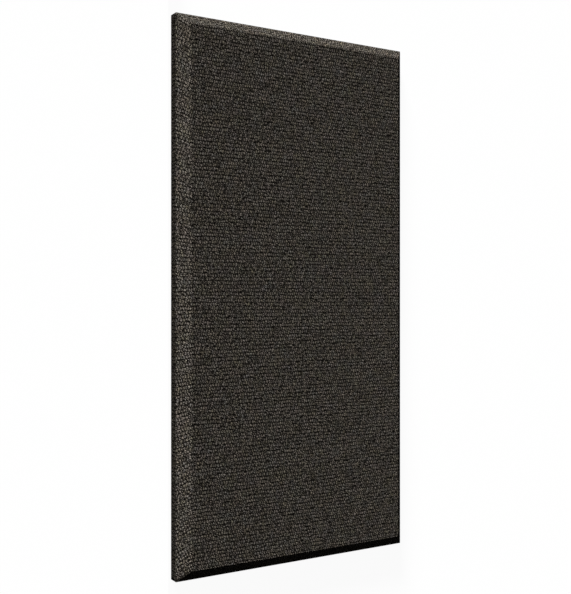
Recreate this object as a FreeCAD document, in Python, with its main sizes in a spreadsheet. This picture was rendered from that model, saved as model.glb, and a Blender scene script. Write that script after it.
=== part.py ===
import FreeCAD, Part
import os

import Sketcher

# Fabric-wrapped acoustic ceiling panel, lying on its back with its face up.
#
# It has two pieces: a rigid glass-fibre board with a bevel milled along its four front edges,
# and one sheet of woven cloth that is glued over the face, the bevels and the square edges and
# turned in onto the back as a hem, cut to a mitre at each corner. The board shows in the middle
# of the back.
#
# Frame: millimetres, +Z up and out of the panel's face, +Y along its length. The origin is the
# middle of the underside, in the plane that the hem rests on.

# Driving dimensions. The sizes of the finished panel are over the cloth and to sharp arrises.
DRIVING_SIZES = {
    "panel_width": 609.6,
    "panel_length": 1219.2,
    "panel_depth": 50.8,
    "edge_height": 25.4,
    "bevel_run": 25.4,
    "cloth_thickness": 1.0,
    "hem_width": 45.0,
    "mitre_gap": 1.2,
    "mitre_margin": 4.0,
}

# Sizes that follow from them. The board's slope lies one cloth thickness inside the panel's,
# measured square to it, so the slope's two ends shift by different amounts.
WORKED_OUT_SIZES = {
    "bevel_rise": "panel_depth - edge_height",
    "bevel_slant": "sqrt(bevel_run * bevel_run + bevel_rise * bevel_rise)",
    "board_width": "panel_width - 2 * cloth_thickness",
    "board_length": "panel_length - 2 * cloth_thickness",
    "board_depth": "panel_depth - 2 * cloth_thickness",
    "board_edge_height":
        "edge_height - cloth_thickness - cloth_thickness * (bevel_slant - bevel_rise) / bevel_run",
    "board_bevel_run":
        "bevel_run - cloth_thickness + cloth_thickness * (bevel_slant - bevel_run) / bevel_rise",
    "window_width": "panel_width - 2 * hem_width",
    "window_length": "panel_length - 2 * hem_width",
    "mitre_half_gap": "mitre_gap / (2 * sqrt(2))",
}

# The four corners of a rectangle, in turn: the side of the X axis and the end of the Y axis.
CORNER_SIGNS = ((-1, -1), (1, -1), (1, 1), (-1, 1))


def make_sheet(document):
    """The spreadsheet, one row a size, with the driving sizes first."""
    sheet = document.addObject("Spreadsheet::Sheet", "sizes")
    cells = {name: str(value) for name, value in DRIVING_SIZES.items()}
    cells.update({name: f"={formula}" for name, formula in WORKED_OUT_SIZES.items()})
    for row, (name, content) in enumerate(cells.items(), start=1):
        sheet.set(f"A{row}", name)
        sheet.set(f"B{row}", content)
        sheet.setAlias(f"B{row}", name)
    document.recompute()
    return sheet


def origin_plane(body, role):
    """The body's own origin plane with this role, such as XY_Plane."""
    for feature in body.Origin.OriginFeatures:
        if feature.Role == role:
            return feature
    raise ValueError(f"{body.Name} has no {role}")


def new_sketch(body, name, role):
    """A sketch on one of the body's origin planes."""
    sketch = body.newObject("Sketcher::SketchObject", name)
    sketch.AttachmentSupport = [(origin_plane(body, role), "")]
    sketch.MapMode = "FlatFace"
    return sketch


def add_outline(sketch, prefix, corners):
    """A closed outline of straight lines. A corner is two formulas in the sheet's sizes, and two
    dimensions from the sketch's origin hold it there."""
    places = [
        FreeCAD.Vector(sketch.evalExpression(across), sketch.evalExpression(along), 0)
        for across, along in corners
    ]
    first = sketch.GeometryCount
    for index, place in enumerate(places):
        sketch.addGeometry(Part.LineSegment(place, places[(index + 1) % len(places)]), False)
    for index, place in enumerate(places):
        line = first + index
        following = first + (index + 1) % len(places)
        sketch.addConstraint(Sketcher.Constraint("Coincident", line, 2, following, 1))
        dimensions = (("DistanceX", place.x), ("DistanceY", place.y))
        for (kind, value), formula in zip(dimensions, corners[index]):
            number = sketch.addConstraint(Sketcher.Constraint(kind, -1, 1, line, 1, value))
            dimension = f"{prefix}_{index}_{kind}"
            sketch.renameConstraint(number, dimension)
            sketch.setExpression(f"Constraints.{dimension}", formula)


def add_rectangle(sketch, prefix, width, length):
    """A rectangle centred on the sketch's origin."""
    add_outline(sketch, prefix, [
        (f"{side} * sizes.{width} / 2", f"{end} * sizes.{length} / 2") for side, end in CORNER_SIGNS
    ])


def cut_away(body, cut):
    """Recompute a new cut, and make sure that it took something off the body."""
    before = cut.BaseFeature.Shape.Volume
    body.Document.recompute()
    if not cut.Shape.Volume < before:
        raise RuntimeError(f"{cut.Name} took nothing off")


def bevelled_slab(document, name, width, length, depth, edge_height, run):
    """A flat slab, padded up from its XY plane, with its four upper edges milled to a slope. Each
    slope is a three-cornered cut all along one edge, mirrored to the edge across the slab."""
    body = document.addObject("PartDesign::Body", name)
    outline = new_sketch(body, f"{name}_outline", "XY_Plane")
    add_rectangle(outline, "outline", width, length)
    slab = body.newObject("PartDesign::Pad", f"{name}_slab")
    slab.Profile = outline
    slab.setExpression("Length", f"sizes.{depth}")
    document.recompute()

    # In a sketch on the XZ or the YZ plane, the second coordinate is the height.
    edges = (
        ("long_edge", "XZ_Plane", "YZ_Plane", width),
        ("short_edge", "YZ_Plane", "XZ_Plane", length),
    )
    for edge, section_plane, mirror_plane, span in edges:
        section = new_sketch(body, f"{name}_{edge}_section", section_plane)
        add_outline(section, edge, [
            (f"sizes.{span} / 2", f"sizes.{edge_height}"),
            (f"sizes.{span} / 2", f"sizes.{depth}"),
            (f"sizes.{span} / 2 - sizes.{run}", f"sizes.{depth}"),
        ])
        bevel = body.newObject("PartDesign::Pocket", f"{name}_{edge}_bevel")
        bevel.Profile = section
        bevel.Type = "ThroughAll"
        bevel.SideType = "Symmetric"
        cut_away(body, bevel)
        far_bevel = body.newObject("PartDesign::Mirrored", f"{name}_{edge}_far_bevel")
        far_bevel.Originals = [bevel]
        far_bevel.MirrorPlane = (origin_plane(body, mirror_plane), [""])
        body.Tip = far_bevel
        document.recompute()
    return body


def make_core_board(document):
    """The glass-fibre board. It lies on the hem, one cloth thickness above the floor."""
    board = bevelled_slab(
        document, "core_board", "board_width", "board_length", "board_depth",
        "board_edge_height", "board_bevel_run")
    board.setExpression(".Placement.Base.z", "sizes.cloth_thickness")
    document.recompute()
    return board


def cut_from_below(body, sketch):
    """A pocket as deep as the cloth is thick, up into the body from its XY plane."""
    pocket = body.newObject("PartDesign::Pocket", f"{sketch.Name}_cut")
    pocket.Profile = sketch
    pocket.Reversed = True
    pocket.setExpression("Length", "sizes.cloth_thickness")
    cut_away(body, pocket)


def add_mitre(sketch, side, end):
    """The slit between two hems at one corner: a narrow strip along the corner's diagonal, from
    just inside the hem's window to a margin short of the panel's edges."""
    near_across = "sizes.window_width / 2 - sizes.mitre_gap"
    near_along = "sizes.window_length / 2 - sizes.mitre_gap"
    far_across = "sizes.panel_width / 2 - sizes.mitre_margin"
    far_along = "sizes.panel_length / 2 - sizes.mitre_margin"
    strip = (
        (near_across, near_along, "+", "-"),
        (far_across, far_along, "+", "-"),
        (far_across, far_along, "-", "+"),
        (near_across, near_along, "-", "+"),
    )
    add_outline(sketch, f"mitre_{CORNER_SIGNS.index((side, end))}", [
        (f"{side} * ({across} {out} sizes.mitre_half_gap)", f"{end} * ({along} {back} sizes.mitre_half_gap)")
        for across, along, out, back in strip
    ])


def make_fabric_wrap(document, board):
    """The cloth. A slab of the finished panel's size has every arris rounded to the cloth's
    thickness, so that the cloth is as thick round the board's sharp arrises as on its faces. The
    window inside the hem and the four mitres are cut into its underside, and then the board is
    taken out of it."""
    envelope = bevelled_slab(
        document, "wrap_envelope", "panel_width", "panel_length", "panel_depth",
        "edge_height", "bevel_run")
    sharp_slab = envelope.Tip
    rounding = envelope.newObject("PartDesign::Fillet", "wrap_rounding")
    rounding.Base = (sharp_slab, [""])
    rounding.UseAllEdges = True
    rounding.setExpression("Radius", "sizes.cloth_thickness")
    document.recompute()

    window = new_sketch(envelope, "hem_window", "XY_Plane")
    add_rectangle(window, "window", "window_width", "window_length")
    cut_from_below(envelope, window)
    mitres = new_sketch(envelope, "hem_mitres", "XY_Plane")
    for side, end in CORNER_SIGNS:
        add_mitre(mitres, side, end)
    cut_from_below(envelope, mitres)

    wrap = document.addObject("Part::Cut", "fabric_wrap")
    wrap.Base = envelope
    wrap.Tool = board
    document.recompute()
    return wrap


def check_document(document, pieces):
    """Every object has to be sound before anything is written."""
    for item in document.Objects:
        if "Invalid" in item.State or "Error" in item.State:
            raise RuntimeError(f"{item.Name} is {item.State}")
    for piece in pieces:
        if piece.Shape.isNull() or not piece.Shape.isValid() or len(piece.Shape.Solids) != 1:
            raise RuntimeError(f"{piece.Label} is not one sound solid")


def write_pieces(pieces):
    """One STEP file a piece, named by its label."""
    os.makedirs("parts", exist_ok=True)
    for piece in pieces:
        piece.Shape.exportStep(f"parts/{piece.Label}.step")
        box = piece.Shape.BoundBox
        print(
            f"{piece.Label}: {piece.Shape.Volume:.0f} mm3, {box.XLength:.1f} x {box.YLength:.1f}"
            f" x {box.ZLength:.1f} mm, from {box.ZMin:.1f} mm above the floor")


def main():
    document = FreeCAD.newDocument("acoustic_ceiling_panel")
    make_sheet(document)
    board = make_core_board(document)
    board.Label = "core_board"
    wrap = make_fabric_wrap(document, board)
    wrap.Label = "fabric_wrap"
    document.recompute()
    check_document(document, (board, wrap))
    write_pieces((board, wrap))


main()
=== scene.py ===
import math

import bpy
import numpy as np
from mathutils import Matrix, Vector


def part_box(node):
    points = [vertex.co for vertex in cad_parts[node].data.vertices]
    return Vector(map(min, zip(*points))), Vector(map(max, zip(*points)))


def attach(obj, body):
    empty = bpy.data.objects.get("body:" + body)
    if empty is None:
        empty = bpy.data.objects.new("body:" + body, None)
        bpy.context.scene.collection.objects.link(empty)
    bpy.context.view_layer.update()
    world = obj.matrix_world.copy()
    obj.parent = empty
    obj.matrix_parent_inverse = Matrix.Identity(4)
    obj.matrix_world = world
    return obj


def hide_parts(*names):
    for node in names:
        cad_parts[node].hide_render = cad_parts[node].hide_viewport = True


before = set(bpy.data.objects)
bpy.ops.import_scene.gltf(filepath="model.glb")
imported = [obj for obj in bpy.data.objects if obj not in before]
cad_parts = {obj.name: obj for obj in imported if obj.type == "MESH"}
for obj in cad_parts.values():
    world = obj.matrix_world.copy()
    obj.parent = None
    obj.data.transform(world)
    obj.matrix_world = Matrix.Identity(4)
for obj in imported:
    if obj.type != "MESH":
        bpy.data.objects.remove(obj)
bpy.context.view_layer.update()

# Acoustic panel, lying on its back: a glass-fibre board wrapped in coarse woven cloth.
# Metres. +Z is out of the face and +Y along the length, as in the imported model.

# Sizes of the panel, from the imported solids.
_, WRAP_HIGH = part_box("fabric_wrap")
BOARD_LOW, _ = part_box("core_board")
HALF_WIDTH = WRAP_HIGH.x
HALF_LENGTH = WRAP_HIGH.y
DEPTH = WRAP_HIGH.z
CLOTH = BOARD_LOW.z

# The finished panel's edge: a bevel over a square edge, and the hem turned in onto the back.
BEVEL_RUN = 0.0254
EDGE_HEIGHT = 0.0254
HEM_WIDTH = 0.045
FACE_HALF_WIDTH = HALF_WIDTH - BEVEL_RUN
FACE_HALF_LENGTH = HALF_LENGTH - BEVEL_RUN
BEVEL_SLANT = math.hypot(BEVEL_RUN, DEPTH - EDGE_HEIGHT)

# The weave: plain, with dark weft picks along X and lighter warp ends along Y. An end goes over
# every second pick, and its neighbours go over the picks between, so one pick shows a float at
# every second end. The cloth's grid has a vertex at each end and two for each pick.
ENDS_ACROSS = 192
STEPS_ALONG = 296
END_STEP = 2 * FACE_HALF_WIDTH / ENDS_ACROSS
PICK_STEP = 2 * FACE_HALF_LENGTH / STEPS_ALONG
FLOAT_PITCH = 2 * END_STEP
PICK_PITCH = 2 * PICK_STEP
WEAVE_RELIEF = 0.0002

# How the cloth goes round the board: the arrises' radius, and the steps round each arris and along
# each flat after it. Its plain inner side has one vertex for every eight of the outer side's.
ARRIS_RADIUS = 0.0013
ARRIS_STEPS = (3, 3, 4)
RUN_STEPS = (12, 8, 6)
LINING_SHARE = 8

# The corners. The seam starts where the section's normal points out by the first share, and it has
# its full depth when that has grown by the second.
CORNER_PULL = 0.0004
SEAM_HALF_WIDTH = 0.0009
SEAM_DEPTH = 0.0005
SEAM_START = 0.8
SEAM_GROWTH = 0.15

# The face's smooth unevenness: how far its yarns drift across and along, and how deep its soft
# waves are, with the wavelengths and seeds. Each drift is drawn out the other way, and each cosine
# wave's own wavelength is between these shares of the one that is given. Near the face's border it
# all fades out.
WAVELENGTH_SHARES = (0.7, 1.5)
YARN_DRIFT = (0.00025, 0.0005)
DRIFT_WAVELENGTHS = (0.045, 0.050)
DRIFT_STRETCH = (0.3, 0.5)
DRIFT_SEEDS = (11, 12)
WAVE_DEPTH = 0.00025
WAVE_WAVELENGTH = 0.16
WAVE_SEED = 13
BORDER_FADE = 0.012

# The frayed yarn ends along the hem's cut edge. An end's root lies inside the hem. Its rise is a
# share of the cloth's thickness, and its taper a share of its radius. It takes its colour from a
# small patch on a yarn of its own.
END_SEED = 21
END_ROOT = 0.0012
END_LENGTHS = (0.0012, 0.0048)
END_SPREAD = 0.001
END_SWAY = 0.0016
END_RISE = 0.12
END_RADII = (0.00026, 0.00036)
END_TAPER = 0.6
END_STEPS = 3
END_YARNS = 40
END_PATCH = (0.0004, 0.0008)


def soft_waves(across, along, wavelength, seed, count=9):
    """A smooth uneven surface, mostly from -1 to 1: the sum of `count` plane cosine waves,
    cos(kx x + ky y + phase), over the square root of their count. They have about one wavelength,
    and seeded directions and phases."""
    dice = np.random.default_rng(seed)
    total = np.zeros(np.broadcast(across, along).shape)
    for _ in range(count):
        angle, phase = dice.uniform(0, 2 * math.pi, 2)
        number = 2 * math.pi / (wavelength * dice.uniform(*WAVELENGTH_SHARES))
        total += np.cos(number * (across * math.cos(angle) + along * math.sin(angle)) + phase)
    return total / math.sqrt(count)


def weave_height(across, along):
    """Height of the cloth's face from 0 in the gaps to 1 on a float's crown. Along an end it is
    0.5 + 0.5 cos(2 pi v / pick pitch). From end to end that is multiplied by
    0.7 + 0.3 cos(2 pi (u / float pitch + half for every other pick))."""
    pick = np.floor(along / PICK_PITCH + 0.5)
    crown = 0.5 + 0.5 * np.cos(2 * math.pi * along / PICK_PITCH)
    swell = 0.7 + 0.3 * np.cos(2 * math.pi * (across / FLOAT_PITCH + 0.5 * np.mod(pick, 2)))
    return crown * swell


def edge_profile():
    """The cloth's section from the face's border over the bevel and down the square edge to the
    hem's cut edge. It is a line through four sharp corners, each inner one rounded by an arc of
    the arris radius: arc centre plus radius times (sin a, cos a), where a is the turn so far.
    Returns the distance out from the face's sharp edge, the height, the outward normal's two
    parts and the distance along the cloth, with a row for each ring of vertices."""
    corners = np.array([
        (-BEVEL_RUN, DEPTH),
        (0, DEPTH),
        (BEVEL_RUN, EDGE_HEIGHT),
        (BEVEL_RUN, 0),
        (BEVEL_RUN - HEM_WIDTH, 0),
    ])
    directions = np.diff(corners, axis=0)
    directions /= np.linalg.norm(directions, axis=1)[:, None]
    turns = np.arctan2(-directions[:, 1], directions[:, 0])
    rows = []
    for index, (arc_steps, run_steps) in enumerate(zip(ARRIS_STEPS, RUN_STEPS)):
        start_turn, end_turn = turns[index], turns[index + 1]
        tangent = ARRIS_RADIUS * math.tan((end_turn - start_turn) / 2)
        arc_start = corners[index + 1] - tangent * directions[index]
        centre = arc_start - ARRIS_RADIUS * np.array((math.sin(start_turn), math.cos(start_turn)))
        for angle in np.linspace(start_turn, end_turn, arc_steps + 1):
            normal = np.array((math.sin(angle), math.cos(angle)))
            rows.append((*(centre + ARRIS_RADIUS * normal), *normal))
        run_start = corners[index + 1] + tangent * directions[index + 1]
        run_end = corners[index + 2]
        if index + 2 < len(turns):
            next_tangent = ARRIS_RADIUS * math.tan((turns[index + 2] - end_turn) / 2)
            run_end = run_end - next_tangent * directions[index + 1]
        normal = (math.sin(end_turn), math.cos(end_turn))
        last = run_steps if index + 2 == len(turns) else run_steps - 1
        for share in np.arange(1, last + 1) / run_steps:
            rows.append((*(run_start + share * (run_end - run_start)), *normal))
    rows = np.array(rows)
    steps = np.linalg.norm(np.diff(rows[:, :2], axis=0), axis=1)
    return rows[:, 0], rows[:, 1], rows[:, 2], rows[:, 3], np.concatenate(([0], np.cumsum(steps)))


def ring_layout(cells_across, cells_along):
    """The border of a grid of vertices, walked counter-clockwise seen from above from the corner
    at -X -Y. Returns each border vertex's column and row, with the side that leaves it: 0 for -Y,
    1 for +X, 2 for +Y and 3 for -X."""
    columns = np.concatenate((
        np.arange(cells_across),
        np.full(cells_along, cells_across),
        np.arange(cells_across, 0, -1),
        np.zeros(cells_along, int),
    ))
    rows = np.concatenate((
        np.zeros(cells_across, int),
        np.arange(cells_along),
        np.full(cells_across, cells_along),
        np.arange(cells_along, 0, -1),
    ))
    sides = np.repeat([0, 1, 2, 3], [cells_across, cells_along, cells_across, cells_along])
    return columns, rows, sides


def grid_quads(cells_across, cells_along, first=0):
    """The quads of a grid of (cells_across + 1) by (cells_along + 1) vertices, row by row, facing
    up, as indices."""
    corner = np.arange(cells_along)[:, None] * (cells_across + 1) + np.arange(cells_across)[None, :]
    corner = corner.ravel() + first
    return np.stack((corner, corner + 1, corner + cells_across + 2, corner + cells_across + 1), axis=1)


def strip_quads(inner_ring, outer_ring):
    """The quads between two closed rings of as many vertices, facing up where the second ring is
    the wider one."""
    return np.stack((inner_ring, outer_ring, np.roll(outer_ring, -1), np.roll(inner_ring, -1)), axis=1)


def strip_uvs(columns, rows, sides, inner_run, outer_run):
    """Cloth coordinates of a strip's quads. Along the border they are the grid's own, and off it
    they run on by the distance along the cloth, so the weave goes over the edges unbroken and
    meets itself at the corners in a mitre."""
    across = (columns - ENDS_ACROSS / 2) * END_STEP
    along = (rows - STEPS_ALONG / 2) * PICK_STEP
    across_next, along_next = np.roll(across, -1), np.roll(along, -1)
    uvs = np.empty((len(columns), 4, 2))
    outward = np.array([(0, -1), (1, 0), (0, 1), (-1, 0)])[sides]
    corners = ((across, along, inner_run), (across, along, outer_run),
               (across_next, along_next, outer_run), (across_next, along_next, inner_run))
    for corner, (u, v, run) in enumerate(corners):
        uvs[:, corner, 0] = u + outward[:, 0] * run
        uvs[:, corner, 1] = v + outward[:, 1] * run
    return uvs


def face_vertices():
    """The cloth on the face: a vertex at each warp end and half pick. Its height is the panel's
    depth, less the weave's relief and a soft wave, and the yarns drift sideways a little, the same
    way over some centimetres. At the border it ends where the first arris starts: half of the
    arris's turn is pi / 8."""
    columns = np.arange(ENDS_ACROSS + 1) - ENDS_ACROSS / 2
    rows = np.arange(STEPS_ALONG + 1) - STEPS_ALONG / 2
    u, v = np.meshgrid(columns * END_STEP, rows * PICK_STEP)
    tangent = ARRIS_RADIUS * math.tan(math.pi / 8)
    border = np.minimum(FACE_HALF_WIDTH - np.abs(u), FACE_HALF_LENGTH - np.abs(v))
    inside = np.clip(border / BORDER_FADE, 0, 1)
    x = np.clip(u, tangent - FACE_HALF_WIDTH, FACE_HALF_WIDTH - tangent)
    y = np.clip(v, tangent - FACE_HALF_LENGTH, FACE_HALF_LENGTH - tangent)
    drift_across = soft_waves(u, DRIFT_STRETCH[0] * v, DRIFT_WAVELENGTHS[0], DRIFT_SEEDS[0])
    drift_along = soft_waves(DRIFT_STRETCH[1] * u, v, DRIFT_WAVELENGTHS[1], DRIFT_SEEDS[1])
    x = x + inside * YARN_DRIFT[0] * drift_across
    y = y + inside * YARN_DRIFT[1] * drift_along
    relief = WEAVE_RELIEF * (1 - weave_height(u, v))
    swell = np.clip(soft_waves(u, v, WAVE_WAVELENGTH, WAVE_SEED), -1, 1)
    z = DEPTH - relief - inside * WAVE_DEPTH * 0.5 * (1 + swell)
    return np.stack((x.ravel(), y.ravel(), z.ravel()), axis=1)


def ring_vertices(out, height, normal_out, normal_up, run, columns, rows):
    """One ring of the cloth round the panel: the face's outline scaled to the ring's half width
    and half length, sunk by the weave's relief along the section's normal. At a corner the ring is
    pulled in, and from the shoulder on it is sunk there into a seam between two close lips."""
    half_width = FACE_HALF_WIDTH + out
    half_length = FACE_HALF_LENGTH + out
    share_across = columns / (ENDS_ACROSS / 2) - 1
    share_along = rows / (STEPS_ALONG / 2) - 1
    corner = (np.abs(share_across) == 1) & (np.abs(share_along) == 1)
    beside = np.roll(corner, 1) | np.roll(corner, -1)
    ends_run = np.abs(share_along) == 1
    u = share_across * FACE_HALF_WIDTH + np.where(ends_run, 0, np.sign(share_across) * run)
    v = share_along * FACE_HALF_LENGTH + np.where(ends_run, np.sign(share_along) * run, 0)
    sink = WEAVE_RELIEF * (1 - weave_height(u, v))
    seam = np.clip((normal_out - SEAM_START) / SEAM_GROWTH, 0, 1) if normal_up >= 0 else 1.0
    sink = np.where(corner, CORNER_PULL + seam * SEAM_DEPTH, sink)
    x = share_across * half_width
    y = share_along * half_length
    lip_x = np.sign(share_across) * (half_width - SEAM_HALF_WIDTH)
    lip_y = np.sign(share_along) * (half_length - SEAM_HALF_WIDTH)
    x = np.where(beside & ends_run, x + seam * (lip_x - x), x)
    y = np.where(beside & ~ends_run, y + seam * (lip_y - y), y)
    x = x - np.where(~ends_run | corner, np.sign(share_across) * sink * normal_out, 0)
    y = y - np.where(ends_run, np.sign(share_along) * sink * normal_out, 0)
    z = height - sink * normal_up
    return np.stack((x, y, np.broadcast_to(z, x.shape)), axis=1)


def lining_vertices(cells_across, cells_along, columns, rows):
    """The cloth's inner side, which lies on the board: rings at the hem's edge, the board's foot
    and its shoulder, and a coarse grid on its face, each the rectangle of that half size. The
    shoulder and the face's border are corners of the panel's section moved in by the cloth's
    thickness."""
    rise = DEPTH - EDGE_HEIGHT
    shoulder = EDGE_HEIGHT - CLOTH * (BEVEL_SLANT - rise) / BEVEL_RUN
    face_in = CLOTH * (BEVEL_SLANT - BEVEL_RUN) / rise
    share_across = columns / (cells_across / 2) - 1
    share_along = rows / (cells_along / 2) - 1
    rings = []
    for inward, height in ((HEM_WIDTH, CLOTH), (CLOTH, CLOTH), (CLOTH, shoulder)):
        x = share_across * (HALF_WIDTH - inward)
        y = share_along * (HALF_LENGTH - inward)
        rings.append(np.stack((x, y, np.full(len(x), height)), axis=1))
    x, y = np.meshgrid(
        np.linspace(-1, 1, cells_across + 1) * (FACE_HALF_WIDTH - face_in),
        np.linspace(-1, 1, cells_along + 1) * (FACE_HALF_LENGTH - face_in))
    face = np.stack((x.ravel(), y.ravel(), np.full(x.size, DEPTH - CLOTH)), axis=1)
    return rings, face


def make_mesh_object(name, vertices, faces, uvs=None):
    """A smooth-shaded mesh object at the origin, from an array of vertices and a list of arrays
    of faces, with the faces' cloth coordinates as the UV map named cloth."""
    mesh = bpy.data.meshes.new(name)
    loops = np.concatenate([face.ravel() for face in faces]).astype(np.int32)
    sizes = np.concatenate([np.full(len(face), face.shape[1]) for face in faces])
    starts = np.concatenate(([0], np.cumsum(sizes)[:-1])).astype(np.int32)
    mesh.vertices.add(len(vertices))
    mesh.vertices.foreach_set("co", vertices.astype(np.float32).ravel())
    mesh.loops.add(len(loops))
    mesh.loops.foreach_set("vertex_index", loops)
    mesh.polygons.add(len(sizes))
    mesh.polygons.foreach_set("loop_start", starts)
    mesh.polygons.foreach_set("use_smooth", np.ones(len(sizes), bool))
    if uvs is not None:
        layer = mesh.uv_layers.new(name="cloth")
        flat = np.concatenate([uv.reshape(-1, 2) for uv in uvs]).astype(np.float32)
        layer.data.foreach_set("uv", flat.ravel())
    mesh.update(calc_edges=True)
    mesh.validate()
    piece = bpy.data.objects.new(name, mesh)
    bpy.context.scene.collection.objects.link(piece)
    return piece


def make_cloth():
    """The whole sheet as one closed skin: the woven face grid, the rings over the edges and the
    hem, then the cut edge and the plain inner side. Loose yarn ends stand out of the cut edge."""
    columns, rows, sides = ring_layout(ENDS_ACROSS, STEPS_ALONG)
    outs, heights, normals_out, normals_up, runs = edge_profile()
    vertices = [face_vertices()]
    faces = [grid_quads(ENDS_ACROSS, STEPS_ALONG)]
    lattice = np.stack((
        np.tile(np.arange(ENDS_ACROSS + 1) - ENDS_ACROSS / 2, STEPS_ALONG + 1) * END_STEP,
        np.repeat(np.arange(STEPS_ALONG + 1) - STEPS_ALONG / 2, ENDS_ACROSS + 1) * PICK_STEP,
    ), axis=1)
    uvs = [lattice[faces[0]]]
    ring = rows * (ENDS_ACROSS + 1) + columns
    count = len(vertices[0])
    for index in range(1, len(outs)):
        vertices.append(ring_vertices(
            outs[index], heights[index], normals_out[index], normals_up[index], runs[index],
            columns, rows))
        next_ring = np.arange(count, count + len(ring))
        count += len(ring)
        faces.append(strip_quads(ring, next_ring))
        uvs.append(strip_uvs(columns, rows, sides, runs[index - 1], runs[index]))
        ring = next_ring

    cells_across = ENDS_ACROSS // LINING_SHARE
    cells_along = STEPS_ALONG // LINING_SHARE
    lining_columns, lining_rows, _ = ring_layout(cells_across, cells_along)
    lining_rings, lining_face = lining_vertices(cells_across, cells_along, lining_columns, lining_rows)
    coarse = np.arange(count, count + len(lining_columns))
    vertices.append(lining_rings[0])
    count += len(coarse)
    faces.append(cut_edge_triangles(ring, coarse))
    ring = coarse
    for places in lining_rings[1:]:
        vertices.append(places)
        next_ring = np.arange(count, count + len(ring))
        count += len(ring)
        faces.append(strip_quads(ring, next_ring))
        ring = next_ring
    vertices.append(lining_face)
    next_ring = count + lining_rows * (cells_across + 1) + lining_columns
    faces.append(strip_quads(ring, next_ring))
    faces.append(grid_quads(cells_across, cells_along, count)[:, ::-1])
    vertices = np.concatenate(vertices)
    for inner in faces[len(uvs):]:
        uvs.append(vertices[inner][:, :, :2])
    end_vertices, end_faces, end_uvs = yarn_ends(len(vertices))
    vertices = np.concatenate((vertices, end_vertices))
    return make_mesh_object("woven_cloth", vertices, faces + end_faces, uvs + end_uvs)


def end_roots():
    """Where the frayed ends leave the hem's cut edge, one for each pick on the long sides and each
    float on the short ones, and the way in that each one points."""
    window = np.array((HALF_WIDTH - HEM_WIDTH, HALF_LENGTH - HEM_WIDTH))
    half_counts = (ENDS_ACROSS // 4, STEPS_ALONG // 4)
    shares = [np.arange(1 - half, half) / half for half in half_counts]
    across, along = shares[0] * window[0], shares[1] * window[1]
    roots = np.concatenate((
        np.stack((across, np.full(len(across), -window[1])), axis=1),
        np.stack((np.full(len(along), window[0]), along), axis=1),
        np.stack((across, np.full(len(across), window[1])), axis=1),
        np.stack((np.full(len(along), -window[0]), along), axis=1),
    ))
    counts = [len(across), len(along), len(across), len(along)]
    inward = np.repeat([(0.0, 1.0), (-1.0, 0.0), (0.0, -1.0), (1.0, 0.0)], counts, axis=0)
    return roots, inward


def yarn_ends(first):
    """The frayed yarn ends. An end is a three-sided tube that tapers along a bow: at a share t of
    its length it has gone in by t length and sideways by t^2 sway. Returns its vertices, its faces
    as indices from first, and their cloth coordinates."""
    dice = np.random.default_rng(END_SEED)
    roots, inward = end_roots()
    sideways = np.stack((-inward[:, 1], inward[:, 0]), axis=1)
    number = len(roots)
    roots = roots + sideways * dice.uniform(-END_SPREAD, END_SPREAD, (number, 1)) - END_ROOT * inward
    length = dice.uniform(*END_LENGTHS, number) + END_ROOT
    sway = dice.uniform(-END_SWAY, END_SWAY, number)
    radius = dice.uniform(*END_RADII, number)
    rise = dice.uniform(-END_RISE, END_RISE, number) * CLOTH

    t = np.linspace(0, 1, END_STEPS + 1)
    angle = 2 * math.pi * np.arange(3) / 3
    path = (roots[:, None] + inward[:, None] * (length[:, None] * t)[..., None]
            + sideways[:, None] * (sway[:, None] * t ** 2)[..., None])
    thin = radius[:, None] * (1 - END_TAPER * t)
    flat = path[:, :, None] + (sideways[:, None, None]
                               * (thin[:, :, None] * np.cos(angle))[..., None])
    height = CLOTH / 2 + (rise[:, None] * t)[:, :, None] + thin[:, :, None] * np.sin(angle)
    vertices = np.concatenate((flat, height[..., None]), axis=3).reshape(-1, 3)

    start = first + np.arange(number)[:, None, None] * 3 * len(t)
    step = start + 3 * np.arange(END_STEPS)[None, :, None]
    ring = step + np.arange(3)
    beside = step + np.roll(np.arange(3), -1)
    sides = np.stack((ring, beside, beside + 3, ring + 3), axis=-1).reshape(-1, 4)
    tips = np.concatenate((
        start[:, 0] + np.array((0, 2, 1)),
        start[:, 0] + 3 * END_STEPS + np.arange(3),
    ))
    yarn = dice.integers(-END_YARNS, END_YARNS, (number, 2))
    place = np.empty((number, len(t), 3, 2))
    place[..., 0] = (yarn[:, :1] * FLOAT_PITCH)[:, :, None] + END_PATCH[0] * np.cos(angle)
    place[..., 1] = (2 * yarn[:, 1:] * PICK_PITCH)[:, :, None] + (END_PATCH[1] * (2 * t - 1))[:, None]
    place = place.reshape(-1, 2)
    return vertices, [sides, tips], [place[sides - first], place[tips - first]]


def cut_edge_triangles(fine_ring, coarse_ring):
    """The cut edge of the hem, between a ring and one with an eighth of its vertices. Each coarse
    vertex fans out to the nearest eight fine edges, and a triangle on each coarse edge fills the
    space between two fans."""
    half = LINING_SHARE // 2
    fine = np.arange(len(fine_ring))
    nearest = (fine + half) // LINING_SHARE % len(coarse_ring)
    fans = np.stack((fine_ring, coarse_ring[nearest], np.roll(fine_ring, -1)), axis=1)
    middles = fine_ring[half::LINING_SHARE]
    fills = np.stack((middles, coarse_ring, np.roll(coarse_ring, -1)), axis=1)
    return np.concatenate((fans, fills))


def feed(tree, socket, value):
    """Link a socket to an input, or set the input to a value."""
    if isinstance(value, bpy.types.NodeSocket):
        tree.links.new(value, socket)
    else:
        socket.default_value = value


def add_node(tree, kind, settings=(), **inputs):
    """A new shader node. Settings are its own properties, and inputs go to the sockets of those
    names, with _ for a space."""
    made = tree.nodes.new(kind)
    for name, value in dict(settings).items():
        setattr(made, name, value)
    for name, value in inputs.items():
        feed(tree, made.inputs[name.replace("_", " ")], value)
    return made


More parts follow.
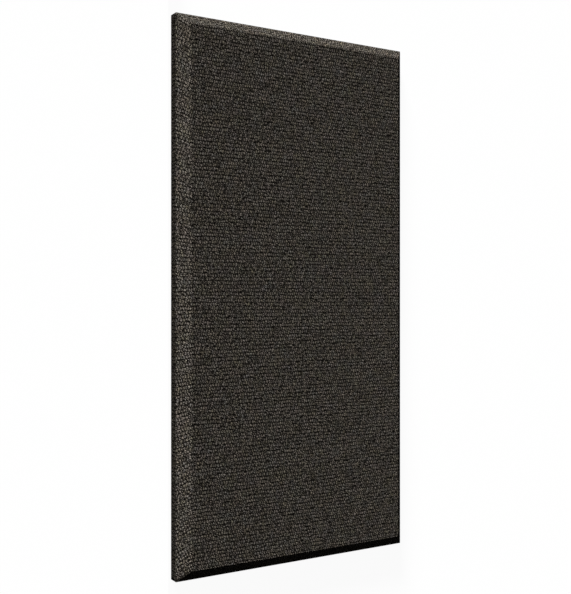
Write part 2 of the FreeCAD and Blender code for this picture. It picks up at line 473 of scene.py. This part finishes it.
def calc(tree, operation, *terms, clamp=False):
    """One sum of a Math node. The terms are numbers or sockets."""
    made = add_node(tree, "ShaderNodeMath", {"operation": operation, "use_clamp": clamp})
    for socket, term in zip(made.inputs, terms):
        feed(tree, socket, term)
    return made.outputs[0]


def vector_calc(tree, operation, *terms):
    """One sum of a Vector Math node. The terms are triples or sockets."""
    made = add_node(tree, "ShaderNodeVectorMath", {"operation": operation})
    for socket, term in zip(made.inputs, terms):
        feed(tree, socket, term)
    return made.outputs[0]


def vector_of(tree, x, y, z=0.0):
    """A vector from its parts."""
    return add_node(tree, "ShaderNodeCombineXYZ", X=x, Y=y, Z=z).outputs[0]


def smooth_step(tree, value, low, high, out_low=0.0, out_high=1.0):
    """value carried smoothly from low..high to out_low..out_high."""
    made = add_node(
        tree, "ShaderNodeMapRange", {"interpolation_type": "SMOOTHSTEP"},
        Value=value, From_Min=low, From_Max=high, To_Min=out_low, To_Max=out_high)
    return made.outputs["Result"]


def spread(tree, share, low, high):
    """A share from 0 to 1 carried straight to low..high."""
    return calc(tree, "MULTIPLY_ADD", share, high - low, low)


def strayed(tree, share, reach):
    """A share from 0 to 1 carried to this reach, with half of it on each side of 0."""
    return spread(tree, share, -reach / 2, reach / 2)


def flat_noise(tree, place, scale, detail=1.0):
    """Smooth noise over the cloth."""
    return add_node(
        tree, "ShaderNodeTexNoise", {"noise_dimensions": "2D"},
        Vector=place, Scale=scale, Detail=detail, Roughness=0.6)


def fibre_noise(tree, across, along, scale, detail=1.0):
    """Smooth noise over the cloth, scaled by a pair of numbers across and along."""
    place = vector_of(
        tree, calc(tree, "MULTIPLY", across, scale[0]), calc(tree, "MULTIPLY", along, scale[1]))
    return flat_noise(tree, place, 1.0, detail).outputs["Fac"]


def solid_noise(tree, place, scale, detail, roughness, distortion=0.0):
    """Smooth noise through a solid."""
    return add_node(
        tree, "ShaderNodeTexNoise", Vector=place, Scale=scale, Detail=detail, Roughness=roughness,
        Distortion=distortion).outputs["Fac"]


def chances(tree, place):
    """Four even chances from 0 to 1 for each whole-numbered place."""
    noise = add_node(tree, "ShaderNodeTexWhiteNoise", {"noise_dimensions": "3D"}, Vector=place)
    parts = add_node(tree, "ShaderNodeSeparateColor", Color=noise.outputs["Color"]).outputs
    return noise.outputs["Value"], parts["Red"], parts["Green"], parts["Blue"]


def mix_colours(tree, share, first, second, blend="MIX"):
    """Two colours mixed by a share from 0 to 1."""
    made = add_node(tree, "ShaderNodeMix", {"data_type": "RGBA", "blend_type": blend})
    for index, value in ((0, share), (6, first), (7, second)):
        feed(tree, made.inputs[index], value)
    return made.outputs[2]


def shaded(tree, colour, share):
    """A colour times a grey share."""
    grey = add_node(tree, "ShaderNodeCombineColor", Red=share, Green=share, Blue=share)
    return mix_colours(tree, 1.0, colour, grey.outputs["Color"], "MULTIPLY")


def ramp(tree, value, stops, colours):
    """A colour ramp through these colours at these stops."""
    made = tree.nodes.new("ShaderNodeValToRGB")
    elements = made.color_ramp.elements
    while len(elements) < len(stops):
        elements.new(0.5)
    for element, stop, colour in zip(elements, stops, colours):
        element.position = stop
        element.color = (*colour, 1)
    tree.links.new(value, made.inputs["Fac"])
    return made.outputs["Color"]


def add_bump(tree, shader, height, distance):
    """Bump the shader's surface by a height times a distance."""
    bump = add_node(
        tree, "ShaderNodeBump", Strength=BUMP_STRENGTH, Distance=distance, Height=height)
    tree.links.new(bump.outputs["Normal"], shader.inputs["Normal"])


def mix_shaders(tree, share, first, second):
    """Two shaders mixed by a share from 0 to 1."""
    made = tree.nodes.new("ShaderNodeMixShader")
    for socket, value in zip(made.inputs, (share, first, second)):
        feed(tree, socket, value)
    return made.outputs[0]


def empty_material(name):
    """A node material without a shader. Returns it, its tree and the output's surface socket."""
    material = bpy.data.materials.new(name)
    material.use_nodes = True
    tree = material.node_tree
    tree.nodes.clear()
    return material, tree, tree.nodes.new("ShaderNodeOutputMaterial").inputs["Surface"]


def new_material(name, roughness, gloss):
    """A node material with its shader. Returns the material, its tree and the shader."""
    material, tree, surface = empty_material(name)
    shader = add_node(
        tree, "ShaderNodeBsdfPrincipled", Roughness=roughness, Specular_IOR_Level=gloss)
    tree.links.new(shader.outputs["BSDF"], surface)
    return material, tree, shader


# Yarn colours, from the gaps to the lightest floats. The gaps get painted shade, nearly black, for
# the shade between the yarns. Over them lie a charcoal weft and a warp of brown-grey and tan
# fibres. Some floats go a little olive and others a little blue, and so do wide patches.
PAINTED_GAP_SHADE = (0.0030, 0.0025, 0.0021)
WEFT_COLOUR = (0.0120, 0.0104, 0.0089)
WARP_COLOURS = (
    (0.0190, 0.0165, 0.0137),
    (0.0551, 0.0485, 0.0406),
    (0.1310, 0.1160, 0.0995),
)
WARP_STOPS = (0.0, 0.5, 1.0)
OLIVE_CAST = (0.985, 1.0, 0.91)
OLIVE_TINTS = (0.7, 1.0)
BLUE_CAST = (0.94, 0.99, 1.03)
BLUE_TINTS = (0.3, 0.0)
CAST_SCALE = 28.0
CAST_REACH = (0.20, 0.0, 0.30)

# How much a float's own lot, its twisted plies and wide patches change its lightness.
LOT_SPREAD = 0.06
TWIST_PITCH = (0.0085, 0.0046)
TWIST_REACH = 0.23
PATCH_SCALE = 20.0
PATCH_SPREAD = 0.09

# How the yarns stray. Half of each reach lies on each side of 0. The cloth's coordinates wander by
# metres, a pick's row of floats shifts smoothly by a share of the float pitch, and a float's centre
# is off by a share of each pitch. Its half width and half length are shares of them too.
WANDER_SCALE = 60.0
WANDER_REACH = (0.005, 0.0030)
ROW_SHIFT = 0.25
ROW_SHIFT_SCALE = (25.0, 7.3)
FLOAT_JITTER = (0.14, 0.15)
HALF_WIDE = (0.325, 0.425)
HALF_LONG = (0.435, 0.545)
SECOND_DRAW = 5.0

# The yarns' fibres: noise scales across and along, the stops that the noise is carried from, and
# the darkest and lightest share of the yarn's colour. The yarn's twist slants them.
TWIST_SLANT = 0.7
GRAIN_SCALE = (360.0, 235.0)
GRAIN_STOPS = (0.37, 0.63)
GRAIN_RANGE = (0.01, 1.97)
STREAK_SCALE = (70.0, 270.0)
STREAK_RANGE = (0.88, 1.12)
FIBRE_SCALE = (1700.0, 260.0)
FIBRE_RANGE = (0.88, 1.12)
NOISE_STOPS = (0.3, 0.7)

# Where the weft and the floats end, and the heights of the weft and the fibres beside a float's.
WEFT_STOPS = (0.46, 0.3)
CROWN_STOPS = (0.02, 0.35)
WEFT_HEIGHT = 0.35
FIBRE_HEIGHT = 0.25
WEAVE_BUMP = 0.00025
BUMP_STRENGTH = 0.8


def wandering_place(tree):
    """The cloth's own coordinates, and their two parts after a smooth wander."""
    cloth = add_node(tree, "ShaderNodeUVMap", {"uv_map": "cloth"}).outputs["UV"]
    wander = flat_noise(tree, cloth, WANDER_SCALE, detail=2.0).outputs["Color"]
    centred = vector_calc(tree, "SUBTRACT", wander, (0.5, 0.5, 0.5))
    shifted = vector_calc(tree, "MULTIPLY_ADD", centred, (*WANDER_REACH, 0), cloth)
    parts = add_node(tree, "ShaderNodeSeparateXYZ", Vector=shifted)
    return cloth, parts.outputs["X"], parts.outputs["Y"]


def woven_floats(tree, u, v):
    """The float at each place. A pick's number is the nearest whole number to v / pick pitch. A
    float's is the nearest to u / float pitch, plus half for every other pick and plus the row's own
    shift. Its crown is 1 - (distance across / half width)^2 - (distance along / half length)^3,
    with its own centre, half width and half length. Returns its crown, the distance along from its
    centre in pick pitches, and its own lot, tint and twist start."""
    pick_phase = calc(tree, "DIVIDE", v, PICK_PITCH)
    pick = calc(tree, "ROUND", pick_phase)
    odd = calc(tree, "FLOORED_MODULO", pick, 2.0)
    row_noise = fibre_noise(tree, u, pick, ROW_SHIFT_SCALE, detail=0.0)
    float_phase = calc(tree, "MULTIPLY_ADD", odd, 0.5, calc(tree, "DIVIDE", u, FLOAT_PITCH))
    float_phase = calc(tree, "ADD", float_phase, strayed(tree, row_noise, ROW_SHIFT))
    number = calc(tree, "ROUND", float_phase)
    lot, wide, long, _ = chances(tree, vector_of(tree, number, pick))
    shift_across, shift_along, tint, start = chances(tree, vector_of(tree, number, pick, SECOND_DRAW))

    across = calc(tree, "SUBTRACT", float_phase, number)
    across = calc(tree, "ADD", across, strayed(tree, shift_across, FLOAT_JITTER[0]))
    along = calc(tree, "SUBTRACT", pick_phase, pick)
    along = calc(tree, "ADD", along, strayed(tree, shift_along, FLOAT_JITTER[1]))
    share_across = calc(tree, "DIVIDE", calc(tree, "ABSOLUTE", across), spread(tree, wide, *HALF_WIDE))
    share_along = calc(tree, "DIVIDE", calc(tree, "ABSOLUTE", along), spread(tree, long, *HALF_LONG))
    sunk = calc(
        tree, "ADD", calc(tree, "POWER", share_across, 2.0), calc(tree, "POWER", share_along, 3.0))
    return calc(tree, "SUBTRACT", 1.0, sunk, clamp=True), along, lot, tint, start


def weave_pattern(tree):
    """The weave, as the sockets that the material needs. A float's yarn is a light ply twisted with
    a dark one: the light one's share is cos(2 pi (u / pitch across + v / pitch along + its own
    start)). The warp's fibres lie along v, slanted by the twist, under streaks that lie along u, as
    the weft's fibres do."""
    cloth, u, v = wandering_place(tree)
    crown, along, lot, tint, start = woven_floats(tree, u, v)
    turn = calc(tree, "MULTIPLY_ADD", v, 1 / TWIST_PITCH[1], calc(tree, "DIVIDE", u, TWIST_PITCH[0]))
    turn = calc(tree, "ADD", turn, start)
    slant = calc(tree, "MULTIPLY_ADD", v, TWIST_SLANT, u)
    return {
        "cloth": cloth,
        "crown": crown,
        "along": along,
        "lot": lot,
        "tint": tint,
        "ply": calc(tree, "COSINE", calc(tree, "MULTIPLY", turn, 2 * math.pi)),
        "grain": fibre_noise(tree, slant, v, GRAIN_SCALE),
        "fibres": fibre_noise(tree, slant, v, FIBRE_SCALE),
        "streaks": fibre_noise(tree, u, v, STREAK_SCALE),
        "weft_fibres": fibre_noise(tree, u, v, FIBRE_SCALE[::-1]),
    }


def warp_colour(tree, weave):
    """The floats' colour. Each has its own lightness, which its plies and wide patches change, and
    its own cast, under the patches' cast and the fibres' light and dark."""
    patch = flat_noise(tree, weave["cloth"], PATCH_SCALE, detail=4.0).outputs["Fac"]
    lightness = 0.5 - (LOT_SPREAD + PATCH_SPREAD) / 2
    for part, reach in ((weave["ply"], TWIST_REACH), (weave["lot"], LOT_SPREAD), (patch, PATCH_SPREAD)):
        lightness = calc(tree, "MULTIPLY_ADD", part, reach, lightness)
    warp = ramp(tree, lightness, WARP_STOPS, WARP_COLOURS)
    for cast, tints in ((OLIVE_CAST, OLIVE_TINTS), (BLUE_CAST, BLUE_TINTS)):
        tinted = mix_colours(tree, 1.0, warp, (*cast, 1), "MULTIPLY")
        warp = mix_colours(tree, smooth_step(tree, weave["tint"], *tints), warp, tinted)
    noise = flat_noise(tree, weave["cloth"], CAST_SCALE, detail=2.0).outputs["Color"]
    lowest = [1 - reach / 2 for reach in CAST_REACH]
    patch_cast = vector_calc(tree, "MULTIPLY_ADD", noise, CAST_REACH, lowest)
    warp = mix_colours(tree, 1.0, warp, patch_cast, "MULTIPLY")
    warp = shaded(tree, warp, smooth_step(tree, weave["grain"], *GRAIN_STOPS, *GRAIN_RANGE))
    warp = shaded(tree, warp, smooth_step(tree, weave["fibres"], *NOISE_STOPS, *FIBRE_RANGE))
    return shaded(tree, warp, smooth_step(tree, weave["streaks"], *NOISE_STOPS, *STREAK_RANGE))


def cloth_material():
    """Heathered charcoal-brown cloth: light and dark floats over a dark weft, with painted shade,
    nearly black, in the gaps between them."""
    material, tree, shader = new_material("charcoal_weave", roughness=0.95, gloss=0.0)
    weave = weave_pattern(tree)
    weft_share = smooth_step(tree, calc(tree, "ABSOLUTE", weave["along"]), *WEFT_STOPS)
    weft_shade = smooth_step(tree, weave["weft_fibres"], *NOISE_STOPS, *GRAIN_RANGE)
    weft = shaded(tree, (*WEFT_COLOUR, 1), weft_shade)
    # The gaps between the yarns are painted nearly black: painted shade, under the weft.
    weft_over_gap_shade = mix_colours(tree, weft_share, (*PAINTED_GAP_SHADE, 1), weft)
    float_share = smooth_step(tree, weave["crown"], *CROWN_STOPS)
    colour = mix_colours(tree, float_share, weft_over_gap_shade, warp_colour(tree, weave))
    tree.links.new(colour, shader.inputs["Base Color"])

    height = calc(tree, "SQRT", weave["crown"])
    height = calc(tree, "MAXIMUM", height, calc(tree, "MULTIPLY", weft_share, WEFT_HEIGHT))
    height = calc(tree, "MULTIPLY_ADD", weave["fibres"], FIBRE_HEIGHT, height)
    add_bump(tree, shader, height, WEAVE_BUMP)
    return material


# Glass wool, from its brown strands to its palest ones. Its noise scales are to the metre, and the
# strands lie in three directions, each drawn out on its own.
WOOL_STOPS = (0.42, 0.58, 0.76)
WOOL_COLOURS = ((0.33, 0.215, 0.065), (0.63, 0.485, 0.190), (0.85, 0.75, 0.44))
STRAND_SCALES = ((520.0, 60.0), (70.0, 460.0), (340.0, 90.0))
STRAND_DEPTH_SCALE = 300.0
STRAND_TURN = 0.6
CLUMP_SCALE = 110.0
CLUMP_RANGE = (0.62, 1.25)
CLUMP_HEIGHT = 0.8
CLOUD_COLOUR = (0.50, 0.345, 0.120)
CLOUD_SCALE = 16.0
CLOUD_STOPS = (0.4, 0.72)
CLOUD_SHARE = 0.5
# Painted shade in the wool's small pits, where the clumps' bump is lowest, with the clump noise's stops
# for it.
PAINTED_PIT_SHADE = (0.14, 0.085, 0.028)
PIT_SHADE_STOPS = (0.34, 0.26)
WOOL_BUMP = 0.0012


def board_material():
    """Pressed glass wool: amber, with pale and brown strands lying every way, clumps of them in
    cloudy patches, and painted shade, a dark brown, in small pits where the clumps' bump is lowest."""
    material, tree, shader = new_material("glass_wool", roughness=0.88, gloss=0.2)
    place = add_node(tree, "ShaderNodeTexCoord").outputs["Object"]
    clouds = solid_noise(tree, place, CLOUD_SCALE, detail=3.0, roughness=0.55)
    clumps = solid_noise(tree, place, CLUMP_SCALE, detail=4.0, roughness=0.7, distortion=1.5)
    strands = 0.0
    for number, scales in enumerate(STRAND_SCALES):
        drawn_out = add_node(
            tree, "ShaderNodeMapping", Vector=place, Scale=(*scales, STRAND_DEPTH_SCALE),
            Rotation=(0, 0, STRAND_TURN * number)).outputs[0]
        strand = solid_noise(tree, drawn_out, 1.0, detail=4.0, roughness=0.72, distortion=0.6)
        strands = calc(tree, "MAXIMUM", strands, strand)
    wool = ramp(tree, strands, WOOL_STOPS, WOOL_COLOURS)
    wool = shaded(tree, wool, smooth_step(tree, clumps, *NOISE_STOPS, *CLUMP_RANGE))
    cloud_share = smooth_step(tree, clouds, *CLOUD_STOPS, 0.0, CLOUD_SHARE)
    wool = mix_colours(tree, cloud_share, wool, (*CLOUD_COLOUR, 1))
    # Painted shade: the pits, where the bump is lowest, are painted dark brown.
    wool = mix_colours(tree, smooth_step(tree, clumps, *PIT_SHADE_STOPS), wool, (*PAINTED_PIT_SHADE, 1))
    tree.links.new(wool, shader.inputs["Base Color"])
    add_bump(tree, shader, calc(tree, "MULTIPLY_ADD", clumps, CLUMP_HEIGHT, strands), WOOL_BUMP)
    return material


# The studio. The sun stands low on the side of the panel's far end and its left edge. Of the
# floor's two colours, the first is for its light and the second for what the camera sees.
SUN_DIRECTION = (-1.36, 3.05, 0.98)
SUN_STRENGTH = 10.8
SUN_ANGLE = math.radians(14)
SUN_DISTANCE = 2.0
UNDER_DIRECTION = (0.0, 0.0, -1.0)
UNDER_STRENGTH = 2.5
UNDER_ANGLE = math.radians(5)
SURROUND_STRENGTH = 0.06
FLOOR_HALF_SIZE = 6.0
FLOOR_GREY = 0.12
FLOOR_PALE = 0.9
FLOOR_SHADOW_SHARE = 0.05
NET_GAP = 0.006
NET_HEIGHT = 0.0296
NET_OVERHANG = 0.4
NET_SHARE = 0.66


def grey(level):
    """A plain grey, up to 1 for white."""
    return (level, level, level, 1)


def seen_share(tree):
    """1 for what the camera sees, straight or through gloss or glass, and 0 for light."""
    rays = tree.nodes.new("ShaderNodeLightPath").outputs
    seen = calc(tree, "MAXIMUM", rays["Is Camera Ray"], rays["Is Glossy Ray"])
    return calc(tree, "MAXIMUM", seen, rays["Is Transmission Ray"])


def make_screen(name, corners, material):
    """One flat quad of the studio, which isn't part of the panel."""
    screen = make_mesh_object(name, np.array(corners, float), [np.array([[0, 1, 2, 3]])])
    screen.data.materials.append(material)
    return screen


def make_floor():
    """A plain pale floor. The camera sees it glow white with a little of its shadow left, and
    looking up from below, it sees through it."""
    material, tree, output = empty_material("white_floor")
    matt = add_node(tree, "ShaderNodeBsdfDiffuse", Color=grey(FLOOR_GREY)).outputs[0]
    pale = add_node(tree, "ShaderNodeBsdfDiffuse", Color=grey(FLOOR_PALE)).outputs[0]
    white = add_node(tree, "ShaderNodeEmission", Color=grey(1), Strength=1.0).outputs[0]
    seen = mix_shaders(tree, 1 - FLOOR_SHADOW_SHARE, pale, white)
    surface = mix_shaders(tree, seen_share(tree), matt, seen)
    clear = add_node(tree, "ShaderNodeBsdfTransparent").outputs[0]
    behind = tree.nodes.new("ShaderNodeNewGeometry").outputs["Backfacing"]
    shadow = tree.nodes.new("ShaderNodeLightPath").outputs["Is Shadow Ray"]
    surface = mix_shaders(tree, calc(tree, "MAXIMUM", behind, shadow), surface, clear)
    tree.links.new(surface, output)
    size = FLOOR_HALF_SIZE
    corners = ((-size, -size, 0), (size, -size, 0), (size, size, 0), (-size, size, 0))
    make_screen("studio_floor", corners, material)


def hang_net():
    """A strip of half-clear net along the panel's left edge, out of sight. It dims the key light
    on the square edge up to the shoulder, and no higher."""
    material, tree, output = empty_material("half_clear_net")
    clear = add_node(tree, "ShaderNodeBsdfTransparent", Color=grey(1 - NET_SHARE))
    tree.links.new(clear.outputs[0], output)
    x = -HALF_WIDTH - NET_GAP
    reach = HALF_LENGTH + NET_OVERHANG
    corners = ((x, -reach, 0), (x, reach, 0), (x, reach, NET_HEIGHT), (x, -reach, NET_HEIGHT))
    net = make_screen("studio_net", corners, material)
    net.visible_camera = False
    net.visible_diffuse = False
    net.visible_glossy = False
    net.visible_transmission = False


def standing_at(place, right, up, back):
    """The matrix of a lamp or camera with these axes, at a place."""
    matrix = Matrix.Identity(4)
    for column, axis in enumerate((right, up, back, place)):
        for row in range(3):
            matrix[row][column] = axis[row]
    return matrix


def add_sun(name, direction, strength, angle):
    """A sun that shines from a direction."""
    lamp = bpy.data.lights.new(name, "SUN")
    lamp.energy = strength
    lamp.angle = angle
    sun = bpy.data.objects.new(name, lamp)
    back = np.array(direction) / np.linalg.norm(direction)
    right = np.cross((0.0, 1.0, 0.0), back)
    right /= np.linalg.norm(right)
    sun.matrix_world = standing_at(SUN_DISTANCE * back, right, np.cross(back, right), back)
    bpy.context.scene.collection.objects.link(sun)


def light_studio():
    """One soft sun, a weaker one from below for the back, and a weak grey surround, which the
    camera sees as white."""
    add_sun("key_sun", SUN_DIRECTION, SUN_STRENGTH, SUN_ANGLE)
    add_sun("under_sun", UNDER_DIRECTION, UNDER_STRENGTH, UNDER_ANGLE)

    world = bpy.data.worlds.new("studio")
    bpy.context.scene.world = world
    world.use_nodes = True
    tree = world.node_tree
    tree.nodes.clear()
    strength = smooth_step(tree, seen_share(tree), 0.0, 1.0, SURROUND_STRENGTH, 1.0)
    surround = add_node(tree, "ShaderNodeBackground", Color=grey(1), Strength=strength)
    output = tree.nodes.new("ShaderNodeOutputWorld")
    tree.links.new(surround.outputs[0], output.inputs["Surface"])


# The camera, from the photograph's perspective. It looks down on the face from the -X side, nearly
# level with the panel's middle and with +Y up, turned by this angle from straight above.
CAMERA_TURN = math.radians(31.66)
CAMERA_PLACE = (-1.1499, 0.0006, 1.8428)
FOCAL_PIXELS = 931.5
LONG_SIDE_PIXELS = 594
SENSOR = 36.0


def make_camera():
    """The photograph's view."""
    camera = bpy.data.cameras.new("photo_view")
    camera.sensor_width = SENSOR
    camera.lens = SENSOR * FOCAL_PIXELS / LONG_SIDE_PIXELS
    viewer = bpy.data.objects.new("photo_view", camera)
    back = (-math.sin(CAMERA_TURN), 0.0, math.cos(CAMERA_TURN))
    right = (math.cos(CAMERA_TURN), 0.0, math.sin(CAMERA_TURN))
    viewer.matrix_world = standing_at(CAMERA_PLACE, right, (0.0, 1.0, 0.0), back)
    bpy.context.scene.collection.objects.link(viewer)
    bpy.context.scene.camera = viewer


def dress_panel():
    """The cloth in place of its solid, and the board's own material."""
    cloth = make_cloth()
    cloth.data.materials.append(cloth_material())
    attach(cloth, "root")
    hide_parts("fabric_wrap")

    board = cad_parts["core_board"]
    board.data.materials.clear()
    board.data.materials.append(board_material())


make_camera()
light_studio()
make_floor()
hang_net()
dress_panel()

bpy.context.scene.view_settings.view_transform = "Standard"
